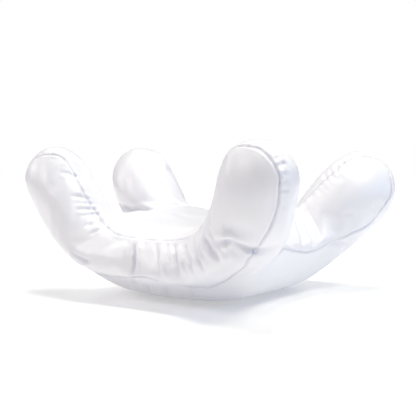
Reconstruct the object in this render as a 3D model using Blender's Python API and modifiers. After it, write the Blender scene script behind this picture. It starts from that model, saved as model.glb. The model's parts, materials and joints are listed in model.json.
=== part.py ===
"""Contour pillow: a filled satin cushion with a hub to lie on and four upturned arms.

The cover is four U-shaped side panels sewn to a wrap that is the seat, the arms' inner and
outer faces and the underside. The pillow is one filled solid. Metres, +Z up, front at -Y.
"""

import math

import bmesh
import bpy
from mathutils import Vector

# The hub: rows of the cage from its middle to a side panel, and its sections.
ROW_SPACING = 0.0401
HUB_HALF_THICKNESS = 0.0494
HUB_MIDDLE_HEIGHT = 0.0452
UNDERSIDE_EDGE_RISE = 0.0419
VALLEY_EDGE_RISE = 0.0368
SEAT_CROWN = 0.006
PANEL_BULGE = 0.0284
VALLEY_DEPTH = 0.0108

# Cage counts: stations from the middle of the pillow to an arm's end, and layers of a side panel.
HUB_STATIONS = 3
ARM_STATIONS = 4
STATIONS = HUB_STATIONS + ARM_STATIONS
LAYERS = 3
SUBDIVISIONS = 2
SEAM_CREASE = 0.25
# Times that the filling evens out the cover's points.
EASE_STEPS = 10

# A ring of cage points shrinks by this much when it is subdivided into a round section.
RING_SHRINK = 0.936
# Directions of an arm's seams round its section, in degrees: 0 faces out, 180 faces the seat.
END_PANEL_SEAMS = (33.1, 163.9)
VALLEY_PANEL_SEAMS = (20.9, 125.5)
# Where the cage points of an arm's round end lie, in degrees from its middle line.
DOME_ANGLES = (-62.0, -21.0, 21.0, 62.0)

# Each arm in metres: where its middle line ends and the direction that it ends in, how far
# its first bend reaches along the hub, and its half thickness and half width at the end.
ARM_COLUMNS = ("x_side", "y_side", "end", "end_way", "reach", "thick", "wide")
ARM_ROWS = (
    (-1, -1, (0.179, 0.096, 0.153), (0.92, -0.11, 1.0), 0.162, 0.0428, 0.0470),
    (1, -1, (0.161, 0.168, 0.173), (0.30, -0.04, 1.0), 0.111, 0.0505, 0.0430),
    (-1, 1, (0.180, 0.102, 0.138), (0.88, 0.23, 1.0), 0.172, 0.0434, 0.0581),
    (1, 1, (0.151, 0.129, 0.137), (1.15, 0.68, 1.0), 0.156, 0.0511, 0.0479),
)
ARMS = {(row[0], row[1]): dict(zip(ARM_COLUMNS, row)) for row in ARM_ROWS}

# Creases pressed into the filled solid: the two ends of each, its half width and its depth.
FOLD_COLUMNS = ("start", "end", "half_width", "depth")
FOLD_ROWS = (
    ((-0.042, -0.132, 0.081), (-0.031, -0.145, 0.042), 0.0060, 0.0018),
    ((-0.029, -0.136, 0.076), (-0.024, -0.144, 0.040), 0.0060, 0.0036),
    ((-0.016, -0.129, 0.082), (-0.004, -0.145, 0.059), 0.0050, 0.0014),
    ((0.000, -0.127, 0.084), (0.011, -0.134, 0.035), 0.0060, 0.0022),
    ((0.026, -0.131, 0.086), (0.045, -0.149, 0.040), 0.0060, 0.0028),
    ((0.051, -0.145, 0.089), (0.066, -0.145, 0.042), 0.0060, 0.0024),
    ((0.096, -0.177, 0.105), (0.121, -0.180, 0.078), 0.0070, 0.0030),
    ((0.117, -0.186, 0.097), (0.148, -0.187, 0.099), 0.0070, 0.0035),
    ((0.148, -0.187, 0.099), (0.167, -0.170, 0.093), 0.0080, 0.0050),
    ((0.167, -0.170, 0.093), (0.177, -0.152, 0.093), 0.0080, 0.0045),
    ((-0.182, 0.049, 0.101), (-0.150, 0.038, 0.097), 0.0070, 0.0035),
    ((-0.150, 0.038, 0.097), (-0.085, -0.022, 0.105), 0.0070, 0.0030),
    ((-0.149, -0.125, 0.162), (-0.132, -0.107, 0.156), 0.0060, 0.0015),
    ((-0.126, -0.127, 0.130), (-0.113, -0.108, 0.130), 0.0060, 0.0018),
    ((-0.117, -0.127, 0.118), (-0.105, -0.107, 0.119), 0.0060, 0.0020),
    ((-0.114, -0.135, 0.104), (-0.096, -0.112, 0.106), 0.0060, 0.0020),
    ((0.103, 0.049, 0.104), (0.132, 0.008, 0.074), 0.0060, 0.0024),
    ((0.113, 0.057, 0.108), (0.136, 0.039, 0.076), 0.0060, 0.0018),
    ((0.028, 0.128, 0.082), (0.020, 0.132, 0.036), 0.0060, 0.0028),
    ((-0.008, 0.122, 0.082), (-0.004, 0.130, 0.040), 0.0060, 0.0020),
    ((-0.040, 0.124, 0.082), (-0.028, 0.130, 0.038), 0.0060, 0.0024),
)
FOLDS = [dict(zip(FOLD_COLUMNS, row)) for row in FOLD_ROWS]
# A fold's ends fade over this length, and it reaches only points that lie this near to it.
FOLD_FADE = 0.014
FOLD_REACH = 0.035
# How much of the rounded underside the pillow's own weight presses flat.
FLAT_SINK = 0.0035


def clear_scene():
    for old in list(bpy.data.objects):
        bpy.data.objects.remove(old)


def mix(low, high, share):
    return low + (high - low) * share


def smooth(share):
    share = min(1.0, max(0.0, share))
    return share * share * (3 - 2 * share)


def middle_line(arm, share):
    """A point and the direction of an arm's middle line, share 0 at mid hub and 1 at its end."""
    sides = Vector((arm["x_side"], arm["y_side"], 1.0))
    end = Vector(arm["end"]) * sides
    end_way = (Vector(arm["end_way"]) * sides).normalized()
    start = Vector((0.0, 2 * ROW_SPACING * arm["y_side"], HUB_MIDDLE_HEIGHT))
    first = start + Vector((arm["reach"] * arm["x_side"], 0.0, 0.0))
    second = end - end_way * arm["reach"] * 0.6
    rest = 1 - share
    point = start * rest**3 + first * 3 * rest**2 * share + second * 3 * rest * share**2 + end * share**3
    way = (first - start) * rest**2 + (second - first) * 2 * rest * share + (end - second) * share**2
    return point, way.normalized()


def section_frame(arm, along):
    """The two directions across an arm's section: towards its seat side, and along its width."""
    width_way = Vector((0.0, arm["y_side"], 0.0))
    width_way = (width_way - along * width_way.dot(along)).normalized()
    inward = width_way.cross(along)
    if inward.dot(Vector((-arm["x_side"], 0.0, 1.0))) < 0:
        inward = -inward
    return inward, width_way


def section_angle(across, layer):
    """Where a cage point lies round an arm's section: 0 faces out, 180 faces the seat."""
    if across == 0:
        end, valley = (seams[0 if layer == 0 else 1] for seams in (END_PANEL_SEAMS, VALLEY_PANEL_SEAMS))
        return (end - valley) / 2 if layer == 0 else 180 + (end - valley) / 2
    outer, inner = END_PANEL_SEAMS if across > 0 else VALLEY_PANEL_SEAMS
    return across * mix(outer, inner, layer / LAYERS)


def arm_point(arm, station, across, layer):
    """A cage point of the hub's outer rows or of an arm; across is -1, 0 or 1, inner side to outer."""
    last = station == STATIONS
    share = min(station, STATIONS - 1) / (STATIONS - 1)
    centre, along = middle_line(arm, share)
    inward, width_way = section_frame(arm, along)
    roundness = smooth((station - HUB_STATIONS + 1) / 3)

    thick = arm["thick"] / RING_SHRINK
    wide = arm["wide"] / RING_SHRINK
    angle = math.radians(section_angle(across, layer))
    round_point = Vector((-thick * math.cos(angle), wide * math.sin(angle), 0.0))
    if last:
        dome = math.radians(DOME_ANGLES[layer])
        seams = END_PANEL_SEAMS if across > 0 else VALLEY_PANEL_SEAMS
        seam = math.radians(seams[0])
        radius = thick * (math.cos(seam) if across else 1.0)
        round_point = Vector((radius * math.sin(dome), across * wide * math.sin(seam), radius * math.cos(dome)))

    box_point = Vector((HUB_HALF_THICKNESS * (2 * layer / LAYERS - 1), ROW_SPACING * across, 0.0))
    if across > 0 and 0 < layer < LAYERS:
        box_point.y += PANEL_BULGE
    if across > 0 and layer == 0:
        box_point.x += UNDERSIDE_EDGE_RISE
    if across < 0 and layer == 0 and station == HUB_STATIONS:
        box_point.x += VALLEY_EDGE_RISE
    offset = box_point.lerp(round_point, roundness)
    return centre + inward * offset.x + width_way * offset.y + along * offset.z


def middle_row_point(x_side, station, layer):
    """A cage point midway between the front and the back rows of the hub."""
    front, back = (arm_point(ARMS[(x_side, y_side)], station, -1, layer) for y_side in (-1, 1))
    point = (front + back) / 2
    if layer == LAYERS:
        point.z += SEAT_CROWN
    if station == HUB_STATIONS:
        point.x -= x_side * VALLEY_DEPTH
    return point


def cage_point(column, row, layer):
    x_side = 1 if column >= 0 else -1
    if row == 0:
        return middle_row_point(x_side, abs(column), layer)
    arm = ARMS[(x_side, 1 if row > 0 else -1)]
    return arm_point(arm, abs(column), abs(row) - 2, layer)


def is_cell(column, row):
    """Whether the flat pattern has cloth in this cell, counted from the middle of the seat."""
    on_hub = -HUB_STATIONS <= column < HUB_STATIONS
    return on_hub or row < -1 or row >= 1


def pillow_cage():
    """The coarse cage: a slab in the shape of the flat pattern, with its points bent into place."""
    bm = bmesh.new()
    made = {}

    def vert(column, row, layer):
        key = (column, row, layer)
        if key not in made:
            made[key] = bm.verts.new(cage_point(*key))
        return made[key]

    cells = [
        (column, row)
        for column in range(-STATIONS, STATIONS)
        for row in range(-3, 3)
        if is_cell(column, row)
    ]
    present = set(cells)
    for column, row in cells:
        corners = ((column, row), (column + 1, row), (column + 1, row + 1), (column, row + 1))
        bm.faces.new([vert(*corner, LAYERS) for corner in corners])
        bm.faces.new([vert(*corner, 0) for corner in reversed(corners)])
        beside = ((column, row - 1), (column + 1, row), (column, row + 1), (column - 1, row))
        for side, other in enumerate(beside):
            if other in present:
                continue
            start, end = corners[side], corners[(side + 1) % 4]
            for layer in range(LAYERS):
                low, high = layer, layer + 1
                bm.faces.new((vert(*start, low), vert(*end, low), vert(*end, high), vert(*start, high)))
    return bm, made


def crease_seams(bm, made):
    """Marks the four side panels' outlines, so that subdivision leaves a soft ridge there."""
    crease = bm.edges.layers.float.new("crease_edge")
    key_of = {vert: key for key, vert in made.items()}
    for edge in bm.edges:
        walls = 0
        for face in edge.link_faces:
            keys = [key_of[v] for v in face.verts]
            upright = len({key[2] for key in keys}) > 1
            cap = all(abs(key[0]) == STATIONS for key in keys)
            walls += upright and not cap
        if walls == 1:
            edge[crease] = SEAM_CREASE


def satin():
    material = bpy.data.materials.new("white_satin")
    material.use_nodes = True
    shader = material.node_tree.nodes["Principled BSDF"]
    shader.inputs["Base Color"].default_value = (0.90, 0.90, 0.92, 1.0)
    shader.inputs["Roughness"].default_value = 0.38
    shader.inputs["Metallic"].default_value = 0.0
    return material


def soft_pillow_mesh(collection):
    """The cage, smoothed into a round solid, as a mesh of its own."""
    bm, made = pillow_cage()
    bmesh.ops.recalc_face_normals(bm, faces=bm.faces)
    crease_seams(bm, made)
    cage_mesh = bpy.data.meshes.new("pillow_cage")
    bm.to_mesh(cage_mesh)
    bm.free()
    cage = bpy.data.objects.new("pillow_cage", cage_mesh)
    collection.objects.link(cage)
    soften = cage.modifiers.new("soften", "SUBSURF")
    soften.levels = SUBDIVISIONS
    soften.render_levels = SUBDIVISIONS
    mesh = bpy.data.meshes.new_from_object(cage.evaluated_get(bpy.context.evaluated_depsgraph_get()))
    mesh.name = "pillow"
    bpy.data.objects.remove(cage)
    bm = bmesh.new()
    bm.from_mesh(mesh)
    for _ in range(EASE_STEPS):
        bmesh.ops.smooth_vert(bm, verts=bm.verts, factor=0.5, use_axis_x=True, use_axis_y=True, use_axis_z=True)
    bm.to_mesh(mesh)
    bm.free()
    return mesh


def fold_depth(fold, point, normal):
    """How far one fold presses in a point of the surface."""
    start = Vector(fold["start"])
    line = Vector(fold["end"]) - start
    share = min(1.0, max(0.0, (point - start).dot(line) / line.length_squared))
    away = point - (start + line * share)
    depth_away = away.dot(normal)
    if abs(depth_away) > FOLD_REACH:
        return 0.0
    across = (away - normal * depth_away).length / fold["half_width"]
    fade = smooth(min(share, 1 - share) * line.length / FOLD_FADE + 0.4)
    return fold["depth"] * fade * math.exp(-across * across)


def press_folds(mesh):
    """Presses every fold into the mesh along the surface's own normals."""
    pressed = [
        vert.co - vert.normal * sum(fold_depth(fold, vert.co, vert.normal) for fold in FOLDS)
        for vert in mesh.vertices
    ]
    for vert, place in zip(mesh.vertices, pressed):
        vert.co = place


def set_down(mesh):
    """Presses the underside flat and puts the origin at the middle of the space that it fills."""
    lows, highs = ([pick(v.co[axis] for v in mesh.vertices) for axis in range(3)] for pick in (min, max))
    middle = Vector(((lows[0] + highs[0]) / 2, (lows[1] + highs[1]) / 2, lows[2] + FLAT_SINK))
    for vert in mesh.vertices:
        vert.co -= middle
        vert.co.z = max(0.0, vert.co.z)


def make_pillow(collection):
    mesh = soft_pillow_mesh(collection)
    press_folds(mesh)
    set_down(mesh)
    mesh.materials.clear()
    mesh.materials.append(satin())
    mesh.shade_smooth()
    pillow = bpy.data.objects.new("pillow", mesh)
    collection.objects.link(pillow)
    return pillow


def main():
    clear_scene()
    collection = bpy.data.collections.new("contour_pillow")
    bpy.context.scene.collection.children.link(collection)
    make_pillow(collection)


main()
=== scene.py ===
"""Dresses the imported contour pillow: white satin, drawn-in seams, puckers, creases, stitches."""

from __future__ import annotations

import json
import logging
import math
from dataclasses import dataclass, field
from enum import Enum

import bmesh
import bpy
import numpy as np
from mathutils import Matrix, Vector, noise
from mathutils.kdtree import KDTree

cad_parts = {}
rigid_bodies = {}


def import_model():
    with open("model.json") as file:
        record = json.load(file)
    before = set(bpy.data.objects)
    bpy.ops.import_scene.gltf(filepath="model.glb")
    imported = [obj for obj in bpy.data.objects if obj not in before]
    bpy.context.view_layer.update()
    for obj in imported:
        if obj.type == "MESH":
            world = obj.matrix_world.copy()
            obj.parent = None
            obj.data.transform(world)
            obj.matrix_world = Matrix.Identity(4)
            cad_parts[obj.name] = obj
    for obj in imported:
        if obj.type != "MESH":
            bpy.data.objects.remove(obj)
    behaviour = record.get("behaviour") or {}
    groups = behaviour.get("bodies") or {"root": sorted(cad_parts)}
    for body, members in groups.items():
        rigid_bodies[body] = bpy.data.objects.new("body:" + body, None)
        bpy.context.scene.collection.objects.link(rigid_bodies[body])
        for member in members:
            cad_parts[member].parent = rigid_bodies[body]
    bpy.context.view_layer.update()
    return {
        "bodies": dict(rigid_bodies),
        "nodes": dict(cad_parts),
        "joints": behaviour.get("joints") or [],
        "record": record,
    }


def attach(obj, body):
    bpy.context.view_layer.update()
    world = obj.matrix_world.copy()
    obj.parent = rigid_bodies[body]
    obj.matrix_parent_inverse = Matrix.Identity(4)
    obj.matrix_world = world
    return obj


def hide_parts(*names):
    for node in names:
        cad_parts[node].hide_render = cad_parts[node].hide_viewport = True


LOG = logging.getLogger("contour_pillow")

# The four seams that run round the side panels, as points in metres along each.
SEAM_POINTS = {
    "front": (
        (-0.1983, -0.0995, 0.1711), (-0.1977, -0.0981, 0.1730), (-0.1859, -0.1024, 0.1783),
        (-0.1792, -0.1026, 0.1809), (-0.1711, -0.1025, 0.1824), (-0.1640, -0.1012, 0.1823),
        (-0.1569, -0.0980, 0.1820), (-0.1523, -0.0957, 0.1801), (-0.1461, -0.0934, 0.1762),
        (-0.1407, -0.0923, 0.1712), (-0.1359, -0.0925, 0.1657), (-0.1313, -0.0924, 0.1589),
        (-0.1248, -0.0949, 0.1505), (-0.1195, -0.0959, 0.1433), (-0.1150, -0.0956, 0.1365),
        (-0.1106, -0.0954, 0.1297), (-0.1063, -0.0951, 0.1236), (-0.1007, -0.0943, 0.1162),
        (-0.0944, -0.0946, 0.1091), (-0.0873, -0.0959, 0.1021), (-0.0786, -0.0995, 0.0968),
        (-0.0693, -0.1040, 0.0930), (-0.0599, -0.1067, 0.0896), (-0.0519, -0.1073, 0.0880),
        (-0.0447, -0.1068, 0.0874), (-0.0375, -0.1064, 0.0869), (-0.0305, -0.1059, 0.0866),
        (-0.0224, -0.1068, 0.0856), (-0.0153, -0.1064, 0.0855), (-0.0086, -0.1054, 0.0859),
        (0.0056, -0.1049, 0.0865), (0.0210, -0.1064, 0.0873), (0.0330, -0.1073, 0.0893),
        (0.0457, -0.1117, 0.0919), (0.0527, -0.1117, 0.0956), (0.0554, -0.1070, 0.0988),
        (0.0773, -0.1331, 0.1061), (0.0870, -0.1394, 0.1157), (0.0959, -0.1453, 0.1274),
        (0.1037, -0.1508, 0.1406), (0.1106, -0.1557, 0.1549), (0.1170, -0.1597, 0.1696),
        (0.1237, -0.1631, 0.1836), (0.1310, -0.1655, 0.1956), (0.1419, -0.1646, 0.2070),
        (0.1477, -0.1659, 0.2090), (0.1533, -0.1669, 0.2100), (0.1590, -0.1680, 0.2101),
        (0.1659, -0.1692, 0.2093), (0.1719, -0.1689, 0.2090), (0.1771, -0.1692, 0.2076),
        (0.1826, -0.1702, 0.2046), (0.1879, -0.1708, 0.2011), (0.1920, -0.1716, 0.1975),
        (0.1958, -0.1719, 0.1939), (0.1985, -0.1722, 0.1903), (0.2013, -0.1729, 0.1851),
        (0.2037, -0.1728, 0.1809), (0.2047, -0.1724, 0.1782), (0.2049, -0.1727, 0.1723),
        (0.2039, -0.1728, 0.1636), (0.2031, -0.1712, 0.1547), (0.2013, -0.1700, 0.1469),
        (0.1987, -0.1686, 0.1389), (0.1957, -0.1674, 0.1320), (0.1910, -0.1654, 0.1227),
        (0.1858, -0.1637, 0.1144), (0.1800, -0.1621, 0.1071), (0.1730, -0.1573, 0.0992),
        (0.1658, -0.1522, 0.0929), (0.1601, -0.1533, 0.0852), (0.1525, -0.1499, 0.0773),
        (0.1475, -0.1444, 0.0715), (0.1405, -0.1389, 0.0655), (0.1333, -0.1354, 0.0608),
        (0.1229, -0.1311, 0.0551), (0.1094, -0.1216, 0.0471), (0.0973, -0.1148, 0.0413),
        (0.0854, -0.1085, 0.0361), (0.0751, -0.1029, 0.0318), (0.0686, -0.1014, 0.0303),
        (0.0664, -0.1070, 0.0331), (0.0600, -0.1056, 0.0319), (0.0506, -0.1018, 0.0294),
        (0.0455, -0.1050, 0.0307), (0.0419, -0.1106, 0.0329), (0.0428, -0.1231, 0.0365),
        (0.0329, -0.1208, 0.0353), (0.0267, -0.1244, 0.0363), (0.0194, -0.1264, 0.0377),
        (0.0121, -0.1262, 0.0380), (0.0056, -0.1272, 0.0400), (0.0007, -0.1286, 0.0422),
        (-0.0076, -0.1270, 0.0405), (-0.0155, -0.1261, 0.0401), (-0.0258, -0.1219, 0.0368),
        (-0.0331, -0.1220, 0.0370), (-0.0503, -0.1103, 0.0345), (-0.0673, -0.0993, 0.0312),
        (-0.0738, -0.1010, 0.0331), (-0.0886, -0.0912, 0.0299), (-0.0963, -0.0891, 0.0304),
        (-0.1126, -0.0798, 0.0301), (-0.1164, -0.0810, 0.0323), (-0.1130, -0.0878, 0.0349),
        (-0.1412, -0.0890, 0.0512), (-0.1530, -0.0924, 0.0621), (-0.1644, -0.0940, 0.0739),
        (-0.1717, -0.1008, 0.0873), (-0.1823, -0.1004, 0.1006), (-0.1925, -0.0995, 0.1142),
        (-0.2015, -0.0978, 0.1270), (-0.2046, -0.1018, 0.1386), (-0.2085, -0.0987, 0.1457),
    ),
    "right": (
        (0.1023, -0.0666, 0.1256), (0.0976, -0.0336, 0.1205), (0.0932, -0.0010, 0.1157),
        (0.0910, 0.0314, 0.1106), (0.0898, 0.0628, 0.1069), (0.0947, 0.0774, 0.1097),
        (0.1010, 0.0843, 0.1173), (0.1202, 0.0967, 0.1408), (0.1268, 0.1008, 0.1479),
        (0.1324, 0.1040, 0.1531), (0.1373, 0.1084, 0.1589), (0.1416, 0.1144, 0.1651),
        (0.1469, 0.1212, 0.1714), (0.1537, 0.1279, 0.1758), (0.1619, 0.1349, 0.1776),
        (0.1711, 0.1430, 0.1767), (0.1796, 0.1495, 0.1734), (0.1863, 0.1537, 0.1681),
        (0.1933, 0.1526, 0.1600), (0.1982, 0.1495, 0.1513), (0.2016, 0.1470, 0.1413),
        (0.2027, 0.1446, 0.1337), (0.2024, 0.1408, 0.1262), (0.2000, 0.1369, 0.1193),
        (0.1964, 0.1325, 0.1124), (0.1933, 0.1301, 0.1065), (0.1899, 0.1286, 0.1006),
        (0.1866, 0.1267, 0.0954), (0.1817, 0.1221, 0.0890), (0.1786, 0.1164, 0.0862),
        (0.1755, 0.1111, 0.0834), (0.1716, 0.1041, 0.0820), (0.1673, 0.0981, 0.0798),
        (0.1645, 0.0952, 0.0774), (0.1608, 0.0910, 0.0750), (0.1563, 0.0856, 0.0728),
        (0.1522, 0.0794, 0.0713), (0.1483, 0.0729, 0.0686), (0.1445, 0.0662, 0.0647),
        (0.1419, 0.0570, 0.0632), (0.1395, 0.0478, 0.0610), (0.1379, 0.0368, 0.0611),
        (0.1371, 0.0243, 0.0621), (0.1373, 0.0129, 0.0650), (0.1379, -0.0020, 0.0677),
        (0.1404, -0.0230, 0.0726), (0.1442, -0.0420, 0.0774), (0.1507, -0.0708, 0.0720),
        (0.1675, -0.0948, 0.0862), (0.1813, -0.1090, 0.0986), (0.1910, -0.1176, 0.1123),
        (0.1988, -0.1249, 0.1273), (0.2045, -0.1295, 0.1426), (0.2082, -0.1321, 0.1575),
        (0.2110, -0.1355, 0.1718), (0.2095, -0.1356, 0.1815), (0.2048, -0.1348, 0.1896),
        (0.1938, -0.1329, 0.1988), (0.1796, -0.1317, 0.2054), (0.1639, -0.1314, 0.2078),
        (0.1494, -0.1316, 0.2062), (0.1402, -0.1319, 0.2030), (0.1384, -0.1263, 0.1941),
        (0.1371, -0.1198, 0.1821), (0.1352, -0.1148, 0.1711), (0.1319, -0.1105, 0.1614),
        (0.1271, -0.1052, 0.1520), (0.1209, -0.0979, 0.1428), (0.1132, -0.0870, 0.1340),
    ),
    "back": (
        (-0.1451, 0.1460, 0.1536), (-0.1546, 0.1468, 0.1630), (-0.1592, 0.1438, 0.1685),
        (-0.1668, 0.1491, 0.1668), (-0.1777, 0.1530, 0.1624), (-0.1885, 0.1547, 0.1550),
        (-0.1973, 0.1542, 0.1450), (-0.2031, 0.1518, 0.1343), (-0.2058, 0.1485, 0.1266),
        (-0.2017, 0.1501, 0.1188), (-0.1946, 0.1499, 0.1076), (-0.1858, 0.1479, 0.0949),
        (-0.1764, 0.1450, 0.0820), (-0.1670, 0.1424, 0.0702), (-0.1569, 0.1403, 0.0599),
        (-0.1454, 0.1390, 0.0513), (-0.1325, 0.1380, 0.0444), (-0.1180, 0.1373, 0.0391),
        (-0.1014, 0.1367, 0.0352), (-0.0814, 0.1361, 0.0322), (-0.0568, 0.1357, 0.0300),
        (-0.0275, 0.1354, 0.0288), (0.0041, 0.1354, 0.0286), (0.0344, 0.1357, 0.0294),
        (0.0608, 0.1364, 0.0314), (0.0822, 0.1374, 0.0343), (0.0994, 0.1384, 0.0380),
        (0.1140, 0.1395, 0.0424), (0.1270, 0.1407, 0.0480), (0.1387, 0.1424, 0.0548),
        (0.1485, 0.1453, 0.0625), (0.1562, 0.1496, 0.0705), (0.1626, 0.1556, 0.0789),
        (0.1690, 0.1625, 0.0882), (0.1760, 0.1689, 0.0979), (0.1831, 0.1733, 0.1078),
        (0.1883, 0.1749, 0.1156), (0.1858, 0.1790, 0.1245), (0.1802, 0.1824, 0.1375),
        (0.1714, 0.1833, 0.1504), (0.1602, 0.1815, 0.1610), (0.1487, 0.1769, 0.1683),
        (0.1409, 0.1713, 0.1722), (0.1319, 0.1669, 0.1686), (0.1197, 0.1592, 0.1603),
        (0.1066, 0.1510, 0.1468), (0.0946, 0.1441, 0.1300), (0.0855, 0.1393, 0.1136),
        (0.0794, 0.1368, 0.1002), (0.0758, 0.1362, 0.0916), (0.0741, 0.1368, 0.0878),
        (0.0708, 0.1376, 0.0893), (0.0641, 0.1372, 0.0899), (0.0507, 0.1364, 0.0894),
        (0.0298, 0.1357, 0.0886), (0.0032, 0.1353, 0.0880), (-0.0253, 0.1354, 0.0883),
        (-0.0510, 0.1356, 0.0891), (-0.0703, 0.1359, 0.0902), (-0.0824, 0.1357, 0.0909),
        (-0.0887, 0.1347, 0.0911), (-0.0922, 0.1329, 0.0917), (-0.0955, 0.1308, 0.0941),
        (-0.1059, 0.1396, 0.0989), (-0.1165, 0.1460, 0.1084), (-0.1257, 0.1475, 0.1228),
        (-0.1376, 0.1502, 0.1387),
    ),
    "left": (
        (-0.1499, -0.0462, 0.1644), (-0.1579, -0.0521, 0.1770), (-0.1635, -0.0577, 0.1845),
        (-0.1718, -0.0571, 0.1835), (-0.1834, -0.0568, 0.1794), (-0.1945, -0.0571, 0.1718),
        (-0.2030, -0.0584, 0.1616), (-0.2080, -0.0607, 0.1506), (-0.2098, -0.0633, 0.1426),
        (-0.2063, -0.0621, 0.1345), (-0.1998, -0.0616, 0.1233), (-0.1920, -0.0614, 0.1114),
        (-0.1839, -0.0607, 0.0993), (-0.1760, -0.0588, 0.0878), (-0.1670, -0.0552, 0.0772),
        (-0.1557, -0.0490, 0.0672), (-0.1416, -0.0360, 0.0546), (-0.1336, -0.0106, 0.0510),
        (-0.1316, 0.0135, 0.0482), (-0.1340, 0.0377, 0.0459), (-0.1427, 0.0630, 0.0452),
        (-0.1581, 0.0751, 0.0556), (-0.1701, 0.0812, 0.0651), (-0.1823, 0.0932, 0.0756),
        (-0.1925, 0.1070, 0.0882), (-0.2018, 0.1189, 0.1019), (-0.2086, 0.1231, 0.1139),
        (-0.2117, 0.1276, 0.1237), (-0.2119, 0.1310, 0.1283), (-0.2127, 0.1288, 0.1344),
        (-0.2116, 0.1281, 0.1435), (-0.2079, 0.1328, 0.1504), (-0.2029, 0.1372, 0.1561),
        (-0.1958, 0.1279, 0.1675), (-0.1958, 0.1215, 0.1688), (-0.1953, 0.1154, 0.1694),
        (-0.2031, 0.1085, 0.1611), (-0.2082, 0.1054, 0.1521), (-0.2112, 0.1033, 0.1433),
        (-0.2136, 0.1045, 0.1341), (-0.2102, 0.0991, 0.1258), (-0.2050, 0.0935, 0.1178),
        (-0.2003, 0.0911, 0.1096), (-0.1943, 0.0871, 0.1017), (-0.1815, 0.0720, 0.0998),
        (-0.1766, 0.0699, 0.0960), (-0.1672, 0.0645, 0.0890), (-0.1577, 0.0600, 0.0859),
        (-0.1335, 0.0372, 0.0617), (-0.1281, 0.0143, 0.0651), (-0.1212, -0.0030, 0.0756),
        (-0.1110, -0.0171, 0.0907), (-0.0956, -0.0308, 0.1043), (-0.1034, -0.0393, 0.1075),
        (-0.1109, -0.0416, 0.1137), (-0.1195, -0.0422, 0.1230), (-0.1294, -0.0423, 0.1353),
        (-0.1400, -0.0431, 0.1497),
    ),
}

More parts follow.
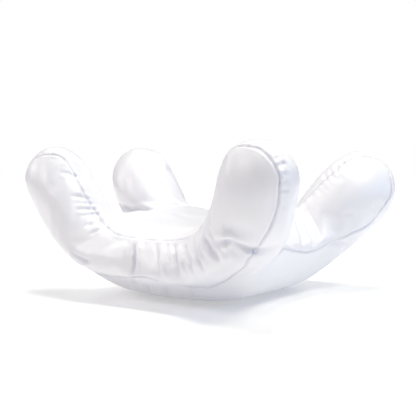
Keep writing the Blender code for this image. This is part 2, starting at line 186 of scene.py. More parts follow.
# Creases that the photograph shows: half width and depth in millimetres, and the path in metres.
# A depth below 0 is a raised fold.
CREASE_COLUMNS = ("half_width_mm", "depth_mm", "path")
CREASE_ROWS = (
    (2.5, 1.5, ((-0.037, -0.112, 0.083), (-0.031, -0.123, 0.065), (-0.024, -0.126, 0.043))),
    (3.0, 3.5, ((-0.027, -0.113, 0.080), (-0.021, -0.124, 0.059), (-0.020, -0.123, 0.037))),
    (3.0, 1.8, ((-0.025, -0.117, 0.035), (-0.046, -0.084, 0.020))),
    (2.5, -1.2, ((-0.020, -0.115, 0.077), (-0.014, -0.126, 0.059), (-0.012, -0.127, 0.041))),
    (2.5, -1.0, ((-0.028, -0.119, 0.070), (-0.023, -0.126, 0.041))),
    (2.0, 1.2, ((-0.013, -0.111, 0.082), (-0.003, -0.122, 0.067))),
    (2.5, 1.0, ((-0.006, -0.112, 0.080), (0.006, -0.125, 0.061), (0.009, -0.128, 0.052))),
    (3.0, 1.8, ((0.003, -0.110, 0.083), (0.015, -0.126, 0.062), (0.022, -0.131, 0.044))),
    (3.0, -1.2, ((0.011, -0.112, 0.081), (0.024, -0.129, 0.061), (0.030, -0.131, 0.042))),
    (2.5, 1.5, ((0.020, -0.112, 0.083), (0.034, -0.129, 0.064), (0.038, -0.133, 0.053))),
    (3.5, 2.8, ((0.029, -0.112, 0.084), (0.045, -0.132, 0.065), (0.055, -0.136, 0.043))),
    (3.0, -1.4, ((0.041, -0.120, 0.083), (0.057, -0.139, 0.063), (0.067, -0.141, 0.046))),
    (3.0, 2.2, ((0.052, -0.125, 0.086), (0.072, -0.147, 0.070), (0.084, -0.147, 0.051))),
    (3.0, 2.0, ((0.073, -0.140, 0.091), (0.091, -0.156, 0.073), (0.100, -0.153, 0.058))),
    (2.5, -1.0, ((0.085, -0.151, 0.090), (0.099, -0.158, 0.072))),
    (3.5, 2.6, ((0.099, -0.157, 0.101), (0.114, -0.163, 0.087), (0.126, -0.162, 0.077))),
    (3.0, 1.6, ((0.109, -0.164, 0.112), (0.127, -0.167, 0.093), (0.138, -0.160, 0.077))),
    (3.5, 5.0, ((0.124, -0.169, 0.099), (0.144, -0.171, 0.103), (0.152, -0.166, 0.098), (0.158, -0.159, 0.093), (0.166, -0.151, 0.091), (0.176, -0.140, 0.091))),
    (6.0, -2.5, ((0.133, -0.173, 0.108), (0.155, -0.172, 0.106), (0.172, -0.160, 0.101))),
    (6.0, 2.0, ((0.134, -0.168, 0.092), (0.150, -0.162, 0.087), (0.159, -0.152, 0.083))),
    (3.0, 3.0, ((-0.171, 0.066, 0.098), (-0.153, 0.060, 0.094), (-0.137, 0.058, 0.094), (-0.122, 0.057, 0.096))),
    (4.0, -1.0, ((-0.131, 0.058, 0.101), (-0.107, 0.066, 0.100))),
    (2.2, 1.4, ((-0.126, -0.089, 0.154), (-0.134, -0.099, 0.158), (-0.146, -0.108, 0.162))),
    (2.2, 1.6, ((-0.106, -0.091, 0.127), (-0.115, -0.101, 0.130), (-0.125, -0.112, 0.132))),
    (2.0, 1.3, ((-0.102, -0.090, 0.121), (-0.109, -0.100, 0.123), (-0.119, -0.112, 0.123))),
    (2.2, 1.6, ((-0.097, -0.091, 0.115), (-0.105, -0.102, 0.116), (-0.116, -0.115, 0.116))),
    (2.0, 1.2, ((-0.093, -0.092, 0.110), (-0.100, -0.104, 0.110), (-0.110, -0.115, 0.108))),
    (2.5, 1.4, ((-0.085, -0.093, 0.102), (-0.092, -0.107, 0.099), (-0.104, -0.120, 0.095))),
    (2.0, 1.2, ((-0.073, -0.101, 0.095), (-0.082, -0.111, 0.092), (-0.092, -0.120, 0.087))),
    (1.6, 1.0, ((0.196, -0.168, 0.197), (0.201, -0.159, 0.199))),
    (1.6, 1.0, ((0.201, -0.170, 0.190), (0.206, -0.160, 0.192))),
    (1.6, 1.2, ((0.205, -0.171, 0.181), (0.211, -0.161, 0.181))),
    (1.6, 1.0, ((0.206, -0.172, 0.173), (0.212, -0.163, 0.172))),
    (1.6, 1.2, ((0.205, -0.171, 0.164), (0.212, -0.160, 0.162))),
    (1.6, 1.0, ((0.202, -0.168, 0.145), (0.208, -0.157, 0.143))),
    (1.8, 1.2, ((0.202, -0.165, 0.195), (0.208, -0.160, 0.190))),
    (3.0, 2.2, ((0.138, 0.017, 0.071), (0.122, 0.037, 0.089), (0.104, 0.066, 0.104))),
    (3.0, 1.8, ((0.140, 0.044, 0.069), (0.125, 0.056, 0.089), (0.110, 0.071, 0.106))),
    (2.5, 1.2, ((0.143, 0.060, 0.072), (0.132, 0.068, 0.091), (0.120, 0.074, 0.105))),
    (1.8, 1.0, ((0.129, 0.099, 0.147), (0.118, 0.116, 0.155))),
    (1.8, 1.1, ((0.136, 0.103, 0.152), (0.126, 0.116, 0.161))),
    (1.8, 1.0, ((0.142, 0.107, 0.157), (0.135, 0.117, 0.165))),
    (1.8, 1.0, ((0.149, 0.113, 0.164), (0.141, 0.121, 0.170))),
    (1.8, 1.0, ((0.155, 0.119, 0.169), (0.147, 0.127, 0.176))),
    (4.0, 2.5, ((-0.083, -0.132, 0.054), (-0.102, -0.132, 0.060), (-0.115, -0.130, 0.066))),
    (4.0, 2.2, ((0.148, 0.074, 0.065), (0.156, 0.092, 0.066), (0.159, 0.111, 0.061))),
    (3.0, 1.5, ((-0.016, -0.100, 0.028), (-0.034, -0.069, 0.010))),
    (3.0, 1.5, ((0.013, -0.106, 0.031), (-0.007, -0.068, 0.009))),
    (3.0, 1.5, ((0.044, -0.099, 0.028), (0.036, -0.072, 0.011))),
    (5.0, 1.0, ((-0.085, -0.060, 0.104), (-0.046, -0.082, 0.096))),
    (6.0, 0.8, ((-0.076, -0.004, 0.103), (-0.031, -0.038, 0.097))),
    (6.0, 0.8, ((-0.049, 0.014, 0.100), (0.004, -0.021, 0.097))),
)


# Where the seams pucker more than elsewhere: the place, its reach in metres, the height in millimetres,
# and the side of the seam, 1 inside its panel and -1 outside it.
PUCKER_ZONES = (
    ((-0.127, -0.098, 0.151), 0.020, 0.3, 1),
    ((-0.104, -0.098, 0.118), 0.025, 0.4, 1),
    ((-0.036, -0.109, 0.085), 0.030, 0.2, 1),
    ((0.015, -0.108, 0.085), 0.030, 0.3, 1),
    ((0.193, -0.173, 0.195), 0.024, 0.6, -1),
    ((0.206, -0.172, 0.160), 0.028, 0.5, -1),
    ((0.096, 0.106, 0.129), 0.030, 0.6, 1),
    ((0.124, 0.107, 0.152), 0.030, 0.7, 1),
    ((0.146, 0.121, 0.171), 0.025, 0.7, 1),
)


class PanelSide(Enum):
    """The side panels, each by the name of its seam."""

    FRONT = "front"
    RIGHT = "right"
    BACK = "back"
    LEFT = "left"


def smooth_step(share: np.ndarray) -> np.ndarray:
    """Eases a share from 0 to 1 at both of its ends."""
    share = np.clip(share, 0.0, 1.0)
    return share * share * (3 - 2 * share)


def points_of(mesh: bpy.types.Mesh) -> np.ndarray:
    """Returns the mesh's points as rows of metres."""
    flat = np.empty(len(mesh.vertices) * 3, np.float32)
    mesh.vertices.foreach_get("co", flat)
    return flat.reshape(-1, 3).astype(np.float64)


def normals_of(mesh: bpy.types.Mesh) -> np.ndarray:
    """Returns the surface's direction at each of the mesh's points."""
    flat = np.empty(len(mesh.vertices) * 3, np.float32)
    mesh.vertex_normals.foreach_get("vector", flat)
    return flat.reshape(-1, 3).astype(np.float64)


def put_points(mesh: bpy.types.Mesh, points: np.ndarray) -> None:
    """Writes the points back into the mesh."""
    mesh.vertices.foreach_set("co", points.astype(np.float32).ravel())
    mesh.update()


def plain_object(name: str, mesh: bpy.types.Mesh) -> bpy.types.Object:
    """Links a new object at the origin that shows the mesh."""
    piece = bpy.data.objects.new(name, mesh)
    bpy.context.scene.collection.objects.link(piece)
    return piece


def baked_mesh(piece: bpy.types.Object, name: str) -> bpy.types.Mesh:
    """Returns what the piece's modifiers make, as a plain mesh."""
    graph = bpy.context.evaluated_depsgraph_get()
    mesh = bpy.data.meshes.new_from_object(piece.evaluated_get(graph))
    mesh.name = name
    return mesh


@dataclass(frozen=True)
class Crease:
    """One fold of the cover, pressed in or raised along a path on the surface."""

    half_width_mm: float
    depth_mm: float
    path: tuple[tuple[float, float, float], ...]

    def depth_at(self, points: np.ndarray, normals: np.ndarray) -> np.ndarray:
        """Returns how far the fold presses in each point, in metres.

        Args:
            points: The surface's points.
            normals: The surface's direction at each of them.

        Returns:
            One depth for each point, above 0 for a pressed-in one.
        """
        knots = np.array(self.path)
        steps = np.diff(knots, axis=0)
        lengths = np.linalg.norm(steps, axis=1)
        total = lengths.sum()
        width = self.half_width_mm / 1000
        near = (np.abs(points - knots.mean(axis=0)) < total / 2 + 6 * width + 0.012).all(axis=1)
        places, ways = points[near], normals[near]
        best = np.full(len(places), 1.0)
        along = np.zeros(len(places))
        start = 0.0
        for knot, step, length in zip(knots, steps, lengths):
            share = np.clip((places - knot) @ step / length**2, 0.0, 1.0)
            away = places - (knot + share[:, None] * step)
            lift = (away * ways).sum(axis=1)
            across = np.linalg.norm(away - lift[:, None] * ways, axis=1) + (np.abs(lift) > 0.022)
            closer = across < best
            best = np.where(closer, across, best)
            along = np.where(closer, (start + share * length) / total, along)
            start += length
        share = best / width
        lips = 0.32 * np.exp(-(((share - 2.3) / 1.0) ** 2))
        fade = smooth_step(along / 0.12 + 0.35) * smooth_step((1 - along) / 0.45 + 0.1)
        depth = np.zeros(len(points))
        depth[near] = self.depth_mm / 1000 * fade * (np.exp(-share * share) - lips)
        return depth


@dataclass
class SeamLine:
    """The sewn seam round one side panel."""

    side: PanelSide
    knot_gap: float = 0.0045
    per_gap: int = 9
    samples: np.ndarray = field(init=False)
    ways: np.ndarray = field(init=False)
    arc: np.ndarray = field(init=False)

    def __post_init__(self) -> None:
        """Runs a smooth closed curve through the seam's points."""
        knots = self.even_knots(np.array(SEAM_POINTS[self.side.value]))
        before, after, last = np.roll(knots, 1, 0), np.roll(knots, -1, 0), np.roll(knots, -2, 0)
        parts = []
        for share in np.linspace(0, 1, self.per_gap, endpoint=False):
            parts.append(
                0.5
                * (
                    2 * knots
                    + (after - before) * share
                    + (2 * before - 5 * knots + 4 * after - last) * share**2
                    + (3 * knots - before - 3 * after + last) * share**3
                )
            )
        self.samples = np.stack(parts, axis=1).reshape(-1, 3)
        gaps = np.roll(self.samples, -1, 0) - self.samples
        self.ways = gaps / np.linalg.norm(gaps, axis=1, keepdims=True)
        self.arc = np.concatenate([[0.0], np.cumsum(np.linalg.norm(gaps, axis=1))[:-1]])

    def even_knots(self, rough: np.ndarray) -> np.ndarray:
        """Returns the closed run of points again, evenly spaced and slightly eased."""
        closed = np.vstack([rough, rough[:1]])
        arc = np.concatenate([[0.0], np.cumsum(np.linalg.norm(np.diff(closed, axis=0), axis=1))])
        stops = np.linspace(0.0, arc[-1], int(arc[-1] / self.knot_gap), endpoint=False)
        knots = np.stack([np.interp(stops, arc, closed[:, axis]) for axis in range(3)], axis=1)
        return 0.5 * knots + 0.25 * (np.roll(knots, 1, 0) + np.roll(knots, -1, 0))

    @property
    def length(self) -> float:
        """The seam's whole length in metres."""
        return float(self.arc[-1] + np.linalg.norm(self.samples[0] - self.samples[-1]))


@dataclass
class SeamMap:
    """Where each point of the cover lies beside the nearest seam."""

    seams: list[SeamLine]
    away: np.ndarray = field(init=False)
    across: np.ndarray = field(init=False)
    arc: np.ndarray = field(init=False)
    side_sign: np.ndarray = field(init=False)
    seam_index: np.ndarray = field(init=False)

    def measure(self, points: np.ndarray, normals: np.ndarray) -> None:
        """Finds the nearest seam of every point.

        Args:
            points: The cover's points.
            normals: The surface's direction at each of them.
        """
        samples = np.concatenate([seam.samples for seam in self.seams])
        ways = np.concatenate([seam.ways for seam in self.seams])
        arcs = np.concatenate([seam.arc for seam in self.seams])
        owner = np.concatenate([np.full(len(seam.samples), i) for i, seam in enumerate(self.seams)])
        tree = KDTree(len(samples))
        for index, place in enumerate(samples):
            tree.insert(place, index)
        tree.balance()
        nearest = np.array([tree.find(place)[1] for place in points])
        offset = points - samples[nearest]
        offset -= (offset * normals).sum(axis=1)[:, None] * normals
        across = offset - (offset * ways[nearest]).sum(axis=1)[:, None] * ways[nearest]
        self.across = across
        self.away = np.linalg.norm(across, axis=1)
        self.arc = arcs[nearest]
        self.seam_index = owner[nearest]
        self.side_sign = np.sign((np.cross(ways[nearest], normals) * offset).sum(axis=1))


@dataclass(frozen=True)
class SatinFinish:
    """White satin: a close warp-faced weave with a soft, slightly streaked sheen."""

    name: str = "white_satin"
    colour: tuple[float, float, float] = (0.765, 0.758, 0.785)
    # Painted shade: the bluish grey that the base colour is darkened towards in creases and along the seam
    # lines.
    painted_crease_shade_colour: tuple[float, float, float] = (0.60, 0.61, 0.70)
    roughness: float = 0.42
    threads_per_metre: float = 2600.0
    slub_scale: float = 85.0

    def material(self) -> bpy.types.Material:
        """Returns the finish as a node material."""
        made = bpy.data.materials.new(self.name)
        made.use_nodes = True
        tree = made.node_tree
        nodes, links = tree.nodes, tree.links
        shader = nodes["Principled BSDF"]
        shader.inputs["Specular IOR Level"].default_value = 1.0
        shader.inputs["Coat Weight"].default_value = 0.3
        shader.inputs["Coat Roughness"].default_value = 0.38
        shader.inputs["Sheen Weight"].default_value = 0.25
        shader.inputs["Sheen Roughness"].default_value = 0.35
        shader.inputs["Sheen Tint"].default_value = (0.86, 0.88, 1.0, 1.0)
        place = nodes.new("ShaderNodeTexCoord")

        # Painted shade: the base colour runs from the satin's colour towards the bluish grey by the painted
        # crease shade and seam line, plus a slight random variation from the noise.
        fold = nodes.new("ShaderNodeAttribute")
        fold.attribute_name = "painted_crease_shade_and_seam_line"
        cloud = nodes.new("ShaderNodeTexNoise")
        cloud.inputs["Scale"].default_value = 9.0
        cloud.inputs["Detail"].default_value = 3.0
        links.new(place.outputs["Object"], cloud.inputs["Vector"])
        shade = nodes.new("ShaderNodeMath")
        shade.operation = "MULTIPLY_ADD"
        shade.inputs[1].default_value = 0.16
        links.new(cloud.outputs["Fac"], shade.inputs[0])
        links.new(fold.outputs["Fac"], shade.inputs[2])
        colours = nodes.new("ShaderNodeValToRGB")
        colours.color_ramp.elements[0].position = 0.02
        colours.color_ramp.elements[0].color = (*self.colour, 1.0)
        colours.color_ramp.elements[1].position = 1.0
        colours.color_ramp.elements[1].color = (*self.painted_crease_shade_colour, 1.0)
        links.new(shade.outputs[0], colours.inputs["Fac"])
        links.new(colours.outputs["Color"], shader.inputs["Base Color"])

        slubs = nodes.new("ShaderNodeTexNoise")
        slubs.inputs["Scale"].default_value = self.slub_scale
        slubs.inputs["Detail"].default_value = 4.0
        links.new(place.outputs["Object"], slubs.inputs["Vector"])
        gloss = nodes.new("ShaderNodeMapRange")
        gloss.inputs["To Min"].default_value = self.roughness - 0.05
        gloss.inputs["To Max"].default_value = self.roughness + 0.07
        links.new(slubs.outputs["Fac"], gloss.inputs["Value"])
        links.new(gloss.outputs["Result"], shader.inputs["Roughness"])

        weave = nodes.new("ShaderNodeTexWave")
        weave.wave_type = "BANDS"
        weave.bands_direction = "DIAGONAL"
        weave.inputs["Scale"].default_value = self.threads_per_metre / 20
        weave.inputs["Distortion"].default_value = 1.2
        weave.inputs["Detail"].default_value = 2.0
        weave.inputs["Detail Scale"].default_value = 3.0
        links.new(place.outputs["Object"], weave.inputs["Vector"])
        mixed = nodes.new("ShaderNodeMath")
        mixed.operation = "MULTIPLY_ADD"
        mixed.inputs[1].default_value = 0.35
        links.new(slubs.outputs["Fac"], mixed.inputs[0])
        links.new(weave.outputs["Fac"], mixed.inputs[2])
        bump = nodes.new("ShaderNodeBump")
        bump.inputs["Strength"].default_value = 0.06
        bump.inputs["Distance"].default_value = 0.0004
        links.new(mixed.outputs[0], bump.inputs["Height"])
        links.new(bump.outputs["Normal"], shader.inputs["Normal"])
        return made


@dataclass(frozen=True)
class ThreadFinish:
    """Twisted polyester sewing thread."""

    name: str = "sewing_thread"
    colour: tuple[float, float, float] = (0.68, 0.68, 0.72)

    def material(self) -> bpy.types.Material:
        """Returns the finish as a node material."""
        made = bpy.data.materials.new(self.name)
        made.use_nodes = True
        nodes, links = made.node_tree.nodes, made.node_tree.links
        shader = nodes["Principled BSDF"]
        shader.inputs["Roughness"].default_value = 0.55
        place = nodes.new("ShaderNodeTexCoord")
        twist = nodes.new("ShaderNodeTexNoise")
        twist.inputs["Scale"].default_value = 900.0
        links.new(place.outputs["Object"], twist.inputs["Vector"])
        colours = nodes.new("ShaderNodeValToRGB")
        colours.color_ramp.elements[0].color = (*[c * 0.8 for c in self.colour], 1.0)
        colours.color_ramp.elements[1].color = (*self.colour, 1.0)
        links.new(twist.outputs["Fac"], colours.inputs["Fac"])
        links.new(colours.outputs["Color"], shader.inputs["Base Color"])
        return made


@dataclass
class PillowCover:
    """The stuffed cover: the solid's form, filled, creased and drawn in along its seams."""

    node: str = "pillow"
    solid_edge: float = 0.0002
    inset: float = 0.0012
    pressure: float = 3.0
    spare_cloth: float = 0.012
    frames: int = 18
    most_move: float = 0.003
    groove_depth: float = 0.0013
    groove_half_width: float = 0.0013
    lip_height: float = 0.0005
    lip_away: float = 0.0032
    pucker_height: float = 0.00015
    pucker_spacing: float = 0.0085
    pucker_reach: float = 0.0085
    snap: float = 0.00085
    seams: list[SeamLine] = field(default_factory=lambda: [SeamLine(side) for side in PanelSide])

    def creases(self) -> list[Crease]:
        """Returns the creases that the photograph shows, and plain ones like them at the back."""
        shown = [Crease(**dict(zip(CREASE_COLUMNS, row))) for row in CREASE_ROWS]
        middle = [crease for crease in shown if crease.path[0][1] < -0.1 and -0.05 < crease.path[0][0] < 0.06]
        behind = [
            Crease(
                crease.half_width_mm * 1.1,
                crease.depth_mm * 0.7,
                tuple((-x * 1.12 + 0.004, 0.034 - y, z) for x, y, z in crease.path),
            )
            for crease in middle[::2]
        ]
        return shown + behind

    def solid_copy(self, source: bpy.types.Object) -> bpy.types.Mesh:
        """Returns a welded copy of the CAD solid, in four-sided faces.

        Args:
            source: The CAD node's object.

        Returns:
            A mesh whose edges follow the seams.
        """
        bm = bmesh.new()
        bm.from_mesh(source.data)
        bmesh.ops.remove_doubles(bm, verts=bm.verts, dist=self.solid_edge)
        bmesh.ops.join_triangles(
            bm, faces=bm.faces, angle_face_threshold=1.2, angle_shape_threshold=1.2, cmp_seam=False
        )
        mesh = bpy.data.meshes.new("pillow_cover")
        bm.to_mesh(mesh)
        bm.free()
        mesh.materials.clear()
        return mesh

    def divided(self, mesh: bpy.types.Mesh, levels: int) -> bpy.types.Mesh:
        """Returns the mesh with smooth subdivision applied."""
        piece = plain_object("pillow_subdivided", mesh)
        finer = piece.modifiers.new("finer", "SUBSURF")
        finer.levels = levels
        finer.render_levels = levels
        result = baked_mesh(piece, "pillow_cover")
        bpy.data.objects.remove(piece)
        return result

    def inflated(self, mesh: bpy.types.Mesh) -> bpy.types.Mesh:
        """Returns the mesh after the filling has pushed it out between its seams.

        Args:
            mesh: The cover before it is filled.

        Returns:
            The cover's mesh after a short cloth simulation, with each point's move capped.
        """
        start = points_of(mesh)
        seam_map = SeamMap(self.seams)
        seam_map.measure(start, normals_of(mesh))
        piece = plain_object("pillow_filling", mesh)
        held = piece.vertex_groups.new(name="held")
        grip = np.exp(-((seam_map.away / 0.0025) ** 2))
        grip = np.maximum(grip, smooth_step((0.006 - start[:, 2]) / 0.004))
        for index in np.nonzero(grip > 0.05)[0]:
            held.add([int(index)], float(grip[index]), "REPLACE")
        cloth = piece.modifiers.new("cloth", "CLOTH")
        settings = cloth.settings
        settings.vertex_group_mass = held.name
        settings.quality = 5
        settings.mass = 0.25
        settings.tension_stiffness = 18
        settings.compression_stiffness = 18
        settings.shear_stiffness = 6
        settings.bending_stiffness = 0.6
        settings.use_pressure = True
        settings.uniform_pressure_force = self.pressure
        settings.shrink_min = -self.spare_cloth
        settings.effector_weights.gravity = 0.0
        cloth.collision_settings.use_collision = False
        cloth.point_cache.frame_start = 1
        cloth.point_cache.frame_end = self.frames
        scene = bpy.context.scene
        for frame in range(1, self.frames + 1):
            scene.frame_set(frame)
        result = baked_mesh(piece, "pillow_cover")
        scene.frame_set(1)
        bpy.data.objects.remove(piece)
        moved = points_of(result) - start
        far = np.linalg.norm(moved, axis=1, keepdims=True)
        capped = moved * (self.most_move * np.tanh(far / self.most_move) / np.maximum(far, 1e-9))
        put_points(result, start + capped)
        LOG.info("filling moved the cover by %.1f mm at most", 1000 * float(far.max()))
        return result

    def seam_relief(self, seam_map: SeamMap, points: np.ndarray) -> np.ndarray:
        """Returns how far each point stands out beside its seam, in metres.

        Args:
            seam_map: Where each point lies beside its seam.
            points: The cover's points.

        Returns:
            The groove, its lips and the puckers that run out from it, above 0 outwards.
        """
        away, arc = seam_map.away, seam_map.arc
        groove = -self.groove_depth * np.exp(-((away / self.groove_half_width) ** 2))
        lips = self.lip_height * np.exp(-(((away - self.lip_away) / 0.0018) ** 2))
        reach = np.nonzero(away < 0.03)[0]
        tall = np.full(len(away), self.pucker_height)
        for place, spread, height, side in PUCKER_ZONES:
            far = np.linalg.norm(points[reach] - place, axis=1) / spread
            share = np.where(seam_map.side_sign[reach] == side, 1.0, 0.12)
            tall[reach] += height / 1000 * share * np.exp(-far * far)
        puckers = np.zeros(len(away))
        for index in reach:
            place = arc[index]
            row = float(seam_map.seam_index[index] * 7 + (seam_map.side_sign[index] > 0) * 3)
            slow = noise.noise(Vector((place * 18, row, 0.0)))
            quick = noise.noise(Vector((place * 75, row, 5.0)))
            strength = 0.3 + 1.1 * max(0.0, noise.noise(Vector((place * 34, row, 9.0))) + 0.25)
            phase = 2 * math.pi * place / self.pucker_spacing + 5 * slow + 3.0 * quick
            length = self.pucker_reach * (1 + 0.7 * noise.noise(Vector((place * 60, row, 13.0))))
            ridge = math.sin(phase)
            ridge = ridge * abs(ridge) ** 0.3
            rise = 1 - math.exp(-((away[index] / 0.0016) ** 2))
            puckers[index] = tall[index] * strength * ridge * rise * math.exp(-away[index] / length)
        return groove + lips + puckers

    def build(self, source: bpy.types.Object, quick: bool) -> bpy.types.Object:
        """Makes the dressed cover.

        Args:
            source: The CAD node's object.
            quick: Whether to leave the filling's simulation out.

        Returns:
            The cover's object.
        """
        mesh = self.solid_copy(source)
        mesh = self.divided(mesh, 1)
        points, normals = points_of(mesh), normals_of(mesh)
        lifted = np.maximum(points - self.inset * normals, 0.0 * points + [-9.0, -9.0, 0.0])
        put_points(mesh, lifted)
        if not quick:
            mesh = self.inflated(mesh)
        mesh = self.divided(mesh, 1)
        points, normals = points_of(mesh), normals_of(mesh)
        pressed = sum(crease.depth_at(points, normals) for crease in self.creases())
        seam_map = SeamMap(self.seams)
        seam_map.measure(points, normals)
        near = seam_map.away < self.snap
        points[near] -= seam_map.across[near]
        seam_map.away[near] = 0.0
        relief = self.seam_relief(seam_map, points)
        ground = smooth_step(points[:, 2] / 0.006)
        points = points + normals * ((relief - pressed) * ground)[:, None]
        points[:, 2] = np.maximum(points[:, 2], 0.0)
        put_points(mesh, points)
        # Painted shade: deeper creases get a darker, bluish base colour, and points on a seam's line get a
        # darker line too.
        shade = np.clip(pressed / 0.003, 0.0, 1.0) * 0.5
        shade = np.maximum(shade, np.exp(-((seam_map.away / 0.0011) ** 2)) * 0.8)
        painted_shade_and_seam_line = mesh.attributes.new("painted_crease_shade_and_seam_line", "FLOAT", "POINT")
        painted_shade_and_seam_line.data.foreach_set("value", shade.astype(np.float32))
        mesh.materials.clear()
        mesh.materials.append(SatinFinish().material())
        mesh.shade_smooth()
        cover = plain_object("pillow_cover", mesh)
        LOG.info("cover: %d faces", len(mesh.polygons))
        return cover


@dataclass
class SeamStitches:
    """The thread of the seams, as it shows at the bottom of each groove."""

    stitch_length: float = 0.0021
    pitch: float = 0.0031
    thread_radius: float = 0.00024
    sink: float = 0.0012

    def path_mesh(self, cover: bpy.types.Object, seams: list[SeamLine]) -> bpy.types.Mesh:
        """Returns the seams as edges that lie in the cover's grooves.

        Args:
            cover: The dressed cover.
            seams: The seams to follow.

        Returns:
            A mesh of edges alone, one closed run for each seam.
        """
        points = points_of(cover.data)
        tree = KDTree(len(points))
        for index, place in enumerate(points):
            tree.insert(place, index)
        tree.balance()
        places: list[Vector] = []
        edges: list[tuple[int, int]] = []
        for seam in seams:
            first = len(places)
            run = []
            for sample in seam.samples[::6]:
                close = tree.find_n(sample, 4)
                run.append(sum((Vector(item[0]) for item in close), Vector()) / len(close))
            places += run
            count = len(run)
            edges += [(first + i, first + (i + 1) % count) for i in range(count)]
        mesh = bpy.data.meshes.new("seam_path")
        mesh.from_pydata(places, edges, [])
        return mesh

    def tree(self, material: bpy.types.Material) -> bpy.types.NodeTree:
        """Returns the node tree that sets stitches along a path.

        Args:
            material: The thread's material.

        Returns:
            A geometry node tree with inputs for the pitch and the stitch's sizes.
        """
        tree = bpy.data.node_groups.new("stitches_on_path", "GeometryNodeTree")
        face = tree.interface
        face.new_socket("Geometry", in_out="INPUT", socket_type="NodeSocketGeometry")
        for name, value in (
            ("Pitch", self.pitch),
            ("Stitch Length", self.stitch_length),
            ("Thread Radius", self.thread_radius),
        ):
            socket = face.new_socket(name, in_out="INPUT", socket_type="NodeSocketFloat")
            socket.default_value = value
        face.new_socket("Geometry", in_out="OUTPUT", socket_type="NodeSocketGeometry")
        nodes, links = tree.nodes, tree.links
        enter, leave = nodes.new("NodeGroupInput"), nodes.new("NodeGroupOutput")
        to_curve = nodes.new("GeometryNodeMeshToCurve")
        spaced = nodes.new("GeometryNodeResampleCurve")
        spaced.mode = "LENGTH"
        on_points = nodes.new("GeometryNodeInstanceOnPoints")
        tangent = nodes.new("GeometryNodeInputTangent")
        turned = nodes.new("FunctionNodeAlignRotationToVector")
        turned.axis = "Z"
        stitch = nodes.new("GeometryNodeMeshUVSphere")
        stitch.inputs["Segments"].default_value = 6
        stitch.inputs["Rings"].default_value = 4
        longer = nodes.new("GeometryNodeTransform")
        size = nodes.new("ShaderNodeCombineXYZ")
        half = nodes.new("ShaderNodeMath")
        half.operation = "MULTIPLY"
        half.inputs[1].default_value = 0.5
        shaded = nodes.new("GeometryNodeSetShadeSmooth")
        realised = nodes.new("GeometryNodeRealizeInstances")
        dressed = nodes.new("GeometryNodeSetMaterial")
        dressed.inputs["Material"].default_value = material
        stitch.inputs["Radius"].default_value = 1.0
        links.new(enter.outputs["Geometry"], to_curve.inputs["Mesh"])
        links.new(to_curve.outputs["Curve"], spaced.inputs["Curve"])
        links.new(enter.outputs["Pitch"], spaced.inputs["Length"])
        links.new(spaced.outputs["Curve"], on_points.inputs["Points"])
        links.new(enter.outputs["Stitch Length"], half.inputs[0])
        links.new(enter.outputs["Thread Radius"], size.inputs["X"])
        links.new(enter.outputs["Thread Radius"], size.inputs["Y"])
        links.new(half.outputs[0], size.inputs["Z"])
        links.new(stitch.outputs["Mesh"], longer.inputs["Geometry"])
        links.new(size.outputs[0], longer.inputs["Scale"])
        links.new(longer.outputs["Geometry"], on_points.inputs["Instance"])
        links.new(tangent.outputs["Tangent"], turned.inputs["Vector"])
        links.new(turned.outputs["Rotation"], on_points.inputs["Rotation"])
        links.new(on_points.outputs["Instances"], realised.inputs["Geometry"])
        links.new(realised.outputs["Geometry"], shaded.inputs["Geometry"])
        links.new(shaded.outputs["Geometry"], dressed.inputs["Geometry"])
        links.new(dressed.outputs["Geometry"], leave.inputs["Geometry"])
        return tree

    def build(self, cover: bpy.types.Object, seams: list[SeamLine]) -> bpy.types.Object:
        """Makes the stitches of every seam.

        Args:
            cover: The dressed cover.
            seams: The seams to follow.

        Returns:
            One object that holds all stitches.
        """
        material = ThreadFinish().material()
        path = plain_object("seam_path", self.path_mesh(cover, seams))
        modifier = path.modifiers.new("stitches", "NODES")
        modifier.node_group = self.tree(material)
        mesh = baked_mesh(path, "seam_stitches")
        bpy.data.objects.remove(path)
        if not mesh.materials:
            mesh.materials.append(material)
        stitches = plain_object("seam_stitches", mesh)
        LOG.info("stitches: %d faces", len(mesh.polygons))
        return stitches


@dataclass(frozen=True)
class SoftLight:
    """One square light panel that faces the pillow."""

    name: str
    place: tuple[float, float, float]
    size: float
    power: float
    colour: tuple[float, float, float]

    def build(self) -> None:
        """Adds the light to the scene."""
        data = bpy.data.lights.new(self.name, "AREA")
        data.energy = self.power
        data.size = self.size
        data.color = self.colour
        lamp = bpy.data.objects.new(self.name, data)
        lamp.location = self.place
        towards = Vector((0.0, 0.0, 0.1)) - Vector(self.place)
        lamp.rotation_euler = towards.to_track_quat("-Z", "Y").to_euler()
        bpy.context.scene.collection.objects.link(lamp)


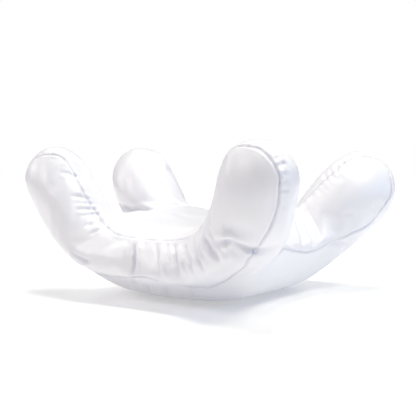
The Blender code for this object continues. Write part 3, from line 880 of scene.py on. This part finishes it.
@dataclass
class Studio:
    """The pale floor, the soft lights and the camera at the photograph's angle."""

    azimuth: float = 30.94
    elevation: float = 7.08
    aim: tuple[float, float, float] = (0.00578, 0.01729, 0.11107)
    distance: float = 1.6
    lens: float = 107.0
    image_width: float = 416.0
    shift_pixels: float = 3.96
    ambient: tuple[float, float, float] = (0.184, 0.185, 0.206)
    near_glow: float = 0.26
    far_glow: float = 0.42
    lights: tuple[SoftLight, ...] = (
        SoftLight("top", (0.0, 0.1, 2.2), 1.0, 34.0, (1.00, 0.98, 0.92)),
        SoftLight("back_left", (-1.3, 1.1, 1.7), 0.6, 4.4, (0.96, 1.00, 0.92)),
        SoftLight("left", (-2.0, -0.5, 0.8), 0.6, 6.5, (1.00, 0.95, 0.90)),
        SoftLight("front_left", (-1.1, -1.7, 1.3), 0.6, 8.8, (1.00, 0.92, 0.94)),
        SoftLight("right", (2.0, 0.2, 0.8), 0.6, 7.1, (0.27, 0.52, 1.00)),
        SoftLight("front_right", (1.5, -1.3, 1.4), 0.6, 2.0, (0.60, 0.75, 1.00)),
        SoftLight("back_right", (1.2, 1.4, 1.5), 0.6, 7.4, (1.00, 0.96, 0.77)),
        SoftLight("back", (-0.2, 2.0, 1.0), 0.6, 4.1, (0.91, 0.88, 1.00)),
        SoftLight("left_high", (-1.5, -0.2, 2.0), 0.5, 5.2, (0.90, 1.00, 0.95)),
        SoftLight("right_high", (1.3, -0.3, 1.9), 0.5, 15.5, (1.00, 0.96, 0.81)),
    )

    def floor(self) -> bpy.types.Object:
        """Returns the floor, a wide pale sheet."""
        bm = bmesh.new()
        bmesh.ops.create_grid(bm, x_segments=8, y_segments=8, size=1.25)
        mesh = bpy.data.meshes.new("studio_floor")
        bm.to_mesh(mesh)
        bm.free()
        made = bpy.data.materials.new("floor_paper")
        made.use_nodes = True
        shader = made.node_tree.nodes["Principled BSDF"]
        shader.inputs["Base Color"].default_value = (0.8, 0.8, 0.8, 1.0)
        shader.inputs["Emission Color"].default_value = (1.0, 1.0, 1.0, 1.0)
        nodes, links = made.node_tree.nodes, made.node_tree.links
        place = nodes.new("ShaderNodeTexCoord")
        away = nodes.new("ShaderNodeVectorMath")
        away.operation = "LENGTH"
        links.new(place.outputs["Object"], away.inputs[0])
        glow = nodes.new("ShaderNodeMapRange")
        glow.interpolation_type = "SMOOTHSTEP"
        glow.inputs["From Min"].default_value = 0.35
        glow.inputs["From Max"].default_value = 1.2
        glow.inputs["To Min"].default_value = self.near_glow
        glow.inputs["To Max"].default_value = self.far_glow
        links.new(away.outputs["Value"], glow.inputs["Value"])
        links.new(glow.outputs["Result"], shader.inputs["Emission Strength"])
        shader.inputs["Roughness"].default_value = 0.9
        shader.inputs["Specular IOR Level"].default_value = 0.1
        mesh.materials.append(made)
        return plain_object("studio_floor", mesh)

    def camera(self) -> None:
        """Adds the camera and makes it the scene's own."""
        turn, tilt = math.radians(self.azimuth), math.radians(self.elevation)
        back = Vector((math.sin(turn) * math.cos(tilt), -math.cos(turn) * math.cos(tilt), math.sin(tilt)))
        data = bpy.data.cameras.new("studio_camera")
        data.lens = self.lens
        data.sensor_width = 36.0
        data.sensor_fit = "HORIZONTAL"
        data.shift_x = -self.shift_pixels / self.image_width
        data.clip_start = 0.05
        camera = bpy.data.objects.new("studio_camera", data)
        camera.location = Vector(self.aim) + back * self.distance
        camera.rotation_euler = back.to_track_quat("Z", "Y").to_euler()
        bpy.context.scene.collection.objects.link(camera)
        bpy.context.scene.camera = camera

    def build(self) -> bpy.types.Object:
        """Sets up the whole studio.

        Returns:
            The floor, which isn't part of the pillow.
        """
        world = bpy.data.worlds.new("studio_world")
        bpy.context.scene.world = world
        world.use_nodes = True
        nodes, links = world.node_tree.nodes, world.node_tree.links
        soft = nodes["Background"]
        soft.inputs["Color"].default_value = (*self.ambient, 1.0)
        seen = nodes.new("ShaderNodeBackground")
        seen.inputs["Color"].default_value = (1.0, 1.0, 1.0, 1.0)
        path = nodes.new("ShaderNodeLightPath")
        chosen = nodes.new("ShaderNodeMixShader")
        links.new(path.outputs["Is Camera Ray"], chosen.inputs[0])
        links.new(soft.outputs[0], chosen.inputs[1])
        links.new(seen.outputs[0], chosen.inputs[2])
        links.new(chosen.outputs[0], nodes["World Output"].inputs["Surface"])
        bpy.context.scene.view_settings.view_transform = "Standard"
        for light in self.lights:
            light.build()
        self.camera()
        return self.floor()


def main() -> None:
    """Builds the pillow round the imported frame, then the studio."""
    logging.basicConfig(level=logging.INFO, format="%(name)s: %(message)s")
    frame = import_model()
    pillow = PillowCover()
    cover = pillow.build(frame["nodes"]["pillow"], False)
    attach(cover, "root")
    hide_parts("pillow")
    LOG.info("made %s", cover.name)
    stitches = SeamStitches().build(cover, pillow.seams)
    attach(stitches, "root")
    LOG.info("made %s", stitches.name)
    Studio().build()
    LOG.info("made the studio")


if __name__ == "__main__":
    main()
